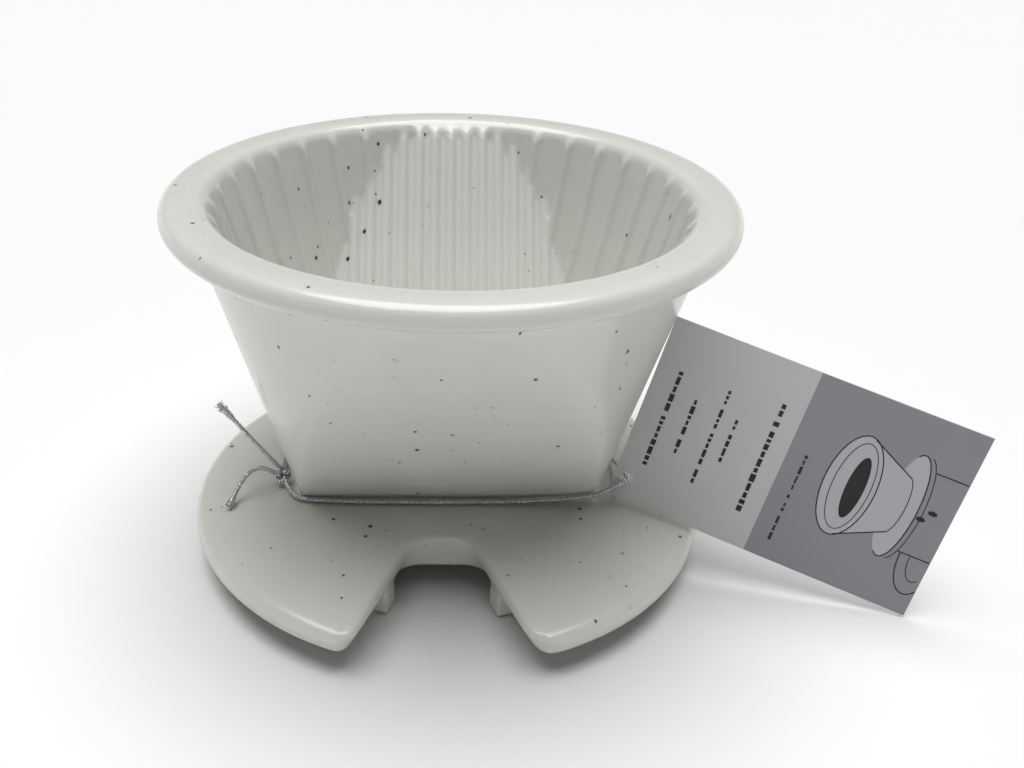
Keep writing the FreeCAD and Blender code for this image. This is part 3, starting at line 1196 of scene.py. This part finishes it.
@dataclass
class HangTag:
    """The card and its print.

    Print is laid out in millimetres: along is from the hole's end, up is from the lower edge.
    """

    stock: Card = Card("tag_stock", (0.55, 0.545, 0.55, 1.0), (0.51, 0.505, 0.51, 1.0))
    panel_ink: Card = Card("tag_panel_ink", (0.29, 0.28, 0.305, 1.0), (0.26, 0.25, 0.275, 1.0))
    fill_ink: Card = Card("tag_fill_ink", (0.47, 0.46, 0.49, 1.0), (0.44, 0.43, 0.46, 1.0))
    line_ink: Card = Card(
        "tag_line_ink", (0.012, 0.011, 0.013, 1.0), (0.02, 0.019, 0.021, 1.0), 0.5)
    hole: Point = (39.4, -13.7, 20.6)
    hole_from_end: float = 3.0
    hole_from_edge: float = 4.9
    long: float = 68.0
    short: float = 44.0
    thickness: float = 0.4
    turn: float = -19.15
    slope: float = 13.96
    lean: float = 9.8
    divider: float = 32.0

    def place(self, piece: bpy.types.Object) -> bpy.types.Object:
        """Moves print from the card's own plane to the leaning card.

        Args:
            piece: Print laid out in the XZ plane.

        Returns:
            The same piece.
        """
        pose = Matrix.Translation(Vector(self.hole) * MM)
        pose = pose @ Matrix.Rotation(math.radians(self.turn), 4, "Z")
        pose = pose @ Matrix.Rotation(math.radians(self.slope), 4, "Y")
        pose = pose @ Matrix.Rotation(math.radians(-self.lean), 4, "X")
        corner = Vector((-self.hole_from_end * MM, 0, -self.hole_from_edge * MM))
        piece.matrix_world = pose @ Matrix.Translation(corner)
        return settle(piece)

    def slab(
        self, name: str, outline: Sequence[tuple[float, float]], rise: float
    ) -> bpy.types.Object:
        """Thin layer of ink on the card's face.

        Args:
            name: The piece's name.
            outline: (along, up) points in millimetres.
            rise: How far it stands above the card, in millimetres.

        Returns:
            The layer, still in the card's own plane.
        """
        front = -self.thickness / 2
        flat = [(along * MM, up * MM) for along, up in outline]
        layer = prism(name, flat, -(front - rise) * MM, -(front + 0.05) * MM)
        edit(
            layer,
            lambda: bpy.ops.mesh.select_all(action="SELECT"),
            lambda: bpy.ops.mesh.normals_make_consistent(inside=False))
        layer.data.transform(Matrix.Rotation(math.radians(90), 4, "X"))
        return layer

    def ellipse(
        self, centre: tuple[float, float], half: tuple[float, float], count: int = 40,
        start: float = 0.0, end: float = 360.0,
    ) -> list[tuple[float, float]]:
        """Points of an ellipse, or of part of one.

        Args:
            centre: (along, up) in millimetres.
            half: Its half sizes.
            count: How many points.
            start: First angle in degrees.
            end: Last angle in degrees.

        Returns:
            The points.
        """
        whole = abs(end - start) >= 360
        steps = count if whole else count - 1
        angles = [math.radians(start + (end - start) * step / steps) for step in range(count)]
        return [(centre[0] + half[0] * math.cos(a), centre[1] + half[1] * math.sin(a)) for a in angles]

    def stroke(
        self, points: Sequence[tuple[float, float]], closed: bool, width: float = 0.3
    ) -> bpy.types.Object:
        """Drawn line.

        Args:
            points: (along, up) points in millimetres.
            closed: Whether the end joins the start.
            width: The line's width in millimetres.

        Returns:
            The line as a flat ribbon, still in the card's own plane.
        """
        data = bpy.data.curves.new("stroke", "CURVE")
        data.dimensions = "3D"
        data.bevel_depth = width / 2 * MM
        data.bevel_resolution = 1
        data.use_fill_caps = True
        spline = data.splines.new("POLY")
        spline.points.add(len(points) - 1)
        for point, (along, up) in zip(spline.points, points):
            point.co = (along * MM, 0, up * MM, 1.0)
        spline.use_cyclic_u = closed
        line = bpy.data.objects.new("stroke", data)
        bpy.context.scene.collection.objects.link(line)
        activate(line)
        bpy.ops.object.convert(target="MESH")
        line = bpy.context.object
        line.scale = (1.0, 0.12, 1.0)
        line.location = (0, -(self.thickness / 2 + 0.03) * MM, 0)
        return settle(line)

    def words(self) -> bpy.types.Object:
        """Rows of dashes where a tag has its text.

        Returns:
            All the rows in one piece.
        """
        rows = (
            (5.3, 9.8, 33.3, 0.9), (10.4, 15.0, 29.0, 0.8), (16.2, 10.0, 33.0, 0.65),
            (19.9, 17.0, 28.0, 0.65), (27.6, 8.0, 35.0, 1.05), (36.0, 4.5, 26.0, 0.55),
        )
        dashes = []
        for along, low, high, tall in rows:
            up = low
            while up < high - 0.8:
                wide = min(random.choice((0.8, 1.1, 1.4, 1.9)), high - up)
                half = tall * random.uniform(0.36, 0.62)
                near, far, end = along - half, along + half, up + wide
                box = [(near, up), (far, up), (far, end), (near, end)]
                dashes.append(self.slab("dash", box, 0.02))
                up += wide + 0.42 + (0.9 if random.random() < 0.16 else 0.0)
        return join(dashes, "tag_words")

    def drawing(self) -> tuple[bpy.types.Object, bpy.types.Object]:
        """Plain picture of a dripper that stands on a mug.

        Returns:
            The pale fills and the dark lines.
        """
        rim, well, coffee = (46.4, 23.0), (46.8, 23.0), (47.6, 23.0)
        saucer = (57.6, 23.0)
        body = [(47.4, 11.4), (57.0, 16.4), (57.0, 29.6), (47.4, 34.6)]
        fills = [
            self.slab("saucer_fill", self.ellipse(saucer, (3.4, 12.4)), 0.018),
            self.slab("body_fill", body, 0.022),
            self.slab("rim_fill", self.ellipse(rim, (5.4, 12.0)), 0.026),
        ]
        lines = [
            self.slab("coffee", self.ellipse(coffee, (1.9, 7.4)), 0.034),
            self.slab("drop", self.ellipse((62.2, 21.9), (1.0, 0.55), 16), 0.03),
            self.slab("drop", self.ellipse((63.9, 24.0), (1.0, 0.55), 16), 0.03),
            self.stroke(self.ellipse(rim, (5.4, 12.0)), True),
            self.stroke(self.ellipse(well, (3.9, 10.4)), True, 0.22),
            self.stroke(self.ellipse(saucer, (3.4, 12.4), 26, -110, 110), False),
            self.stroke(self.ellipse((58.7, 23.0), (3.4, 12.4), 26, -82, 82), False, 0.22),
            self.stroke([body[0], body[1]], False),
            self.stroke([body[3], body[2]], False),
            self.stroke(self.ellipse((56.6, 23.0), (1.9, 6.8), 20, -80, 80), False, 0.22),
            self.stroke([(61.0, 13.4), (67.9, 13.4)], False),
            self.stroke([(61.0, 32.6), (67.9, 32.6)], False),
            self.stroke(self.ellipse((65.6, 13.2), (4.0, 8.6), 20, 180, 304), False),
            self.stroke(self.ellipse((66.0, 13.2), (2.3, 5.4), 20, 180, 300), False, 0.22),
        ]
        return join(fills, "tag_drawing_fill"), join(lines, "tag_drawing_lines")

    def dress(self) -> None:
        """Prints the card."""
        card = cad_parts["hang_tag"]
        stock = self.stock.material()
        for held in card.material_slots:
            held.material = stock
        panel_box = [
            (self.divider, 0.02), (self.long - 0.02, 0.02), (self.long - 0.02, self.short - 0.02),
            (self.divider, self.short - 0.02),
        ]
        fill, lines = self.drawing()
        ink = self.line_ink.material()
        dressed = {
            self.slab("tag_panel", panel_box, 0.01): self.panel_ink.material(),
            fill: self.fill_ink.material(),
            lines: ink,
            self.words(): ink,
        }
        for piece, finish in dressed.items():
            wear(self.place(piece), finish)
            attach(piece, Body.TAG.value)
            LOG.info("%s: %d faces", piece.name, len(piece.data.polygons))


# ---------------------------------------------------------------------------------------------
# Studio
# ---------------------------------------------------------------------------------------------


@dataclass
class Camera:
    """The camera, at a seated person's height in front of the dripper. Sizes in millimetres."""

    eye: Point = (-3.3, -223.5, 160.8)
    yaw: float = -0.0415
    pitch: float = 0.4388
    roll: float = 0.0276
    lens: float = 39.73
    shift: tuple[float, float] = (0.0328, -0.0746)

    def build(self) -> None:
        """Makes the camera and looks through it."""
        data = bpy.data.cameras.new("camera")
        data.lens = self.lens
        data.sensor_width = 36.0
        data.shift_x, data.shift_y = self.shift
        data.clip_start = 0.01
        camera = bpy.data.objects.new("camera", data)
        bpy.context.scene.collection.objects.link(camera)
        turn = Matrix.Rotation(self.yaw, 4, "Z") @ Matrix.Rotation(math.pi / 2 - self.pitch, 4, "X")
        turn = turn @ Matrix.Rotation(self.roll, 4, "Z")
        camera.matrix_world = Matrix.Translation(Vector(self.eye) * MM) @ turn
        bpy.context.scene.camera = camera


@dataclass
class Lights:
    """Soft daylight from a broad overhead source, in a pale room."""

    room: float = 0.09
    strength: float = 3.6
    breadth: float = 56.0
    lean: Point = (-0.05, 0.06, 1.2)

    def build(self) -> None:
        """Makes the light and the room."""
        world = bpy.data.worlds.new("room")
        world.use_nodes = True
        background = world.node_tree.nodes["Background"]
        background.inputs["Color"].default_value = (1.0, 1.0, 1.0, 1.0)
        background.inputs["Strength"].default_value = self.room
        bpy.context.scene.world = world
        bpy.context.scene.view_settings.view_transform = "Standard"
        data = bpy.data.lights.new("overhead", "SUN")
        data.energy = self.strength
        data.angle = math.radians(self.breadth)
        light = bpy.data.objects.new("overhead", data)
        bpy.context.scene.collection.objects.link(light)
        light.rotation_euler = (-Vector(self.lean)).to_track_quat("-Z", "Y").to_euler()


@dataclass
class Floor:
    """Round sweep: a flat floor that curves up into a pale wall. Sizes in metres."""

    sweep: Studio = Studio()
    reach: float = 5.5
    bend: float = 0.8
    wall: float = 1.25

    def build(self) -> None:
        """Makes the sweep."""
        curve = arc_points((self.reach, self.bend), self.bend, -90, 0, 9)
        outline = [(0.3, 0.0), (1.5, 0.0), *curve, (self.reach + self.bend, self.wall)]
        deselect()
        bpy.ops.mesh.primitive_circle_add(
            vertices=96, radius=outline[0][0], fill_type="NGON", location=(0, 0, -0.2 * MM))
        floor = settle(bpy.context.object)
        floor.name = "floor"
        bpy.ops.object.mode_set(mode="EDIT")
        bpy.ops.mesh.select_all(action="SELECT")
        bpy.ops.mesh.region_to_loop()
        for (near, low), (far, high) in zip(outline, outline[1:]):
            bpy.ops.mesh.extrude_edges_move()
            bpy.ops.transform.resize(value=(far / near, far / near, 1.0), center_override=(0, 0, 0))
            bpy.ops.transform.translate(value=(0, 0, high - low))
        bpy.ops.mesh.select_all(action="SELECT")
        bpy.ops.mesh.normals_make_consistent(inside=True)
        bpy.ops.mesh.faces_shade_smooth()
        bpy.ops.object.mode_set(mode="OBJECT")
        wear(floor, self.sweep.material())


def main() -> None:
    """Builds the studio and every sub-assembly."""
    logging.basicConfig(level=logging.INFO, format="%(name)s: %(message)s")
    random.seed(7)
    Camera().build()
    Lights().build()
    Floor().build()
    TagCord(SilverThread()).dress()
    body = Ceramic(Glaze()).dress()
    LOG.info("%s: %d faces", body.name, len(body.data.polygons))
    HangTag().dress()


if __name__ == "__main__":
    main()
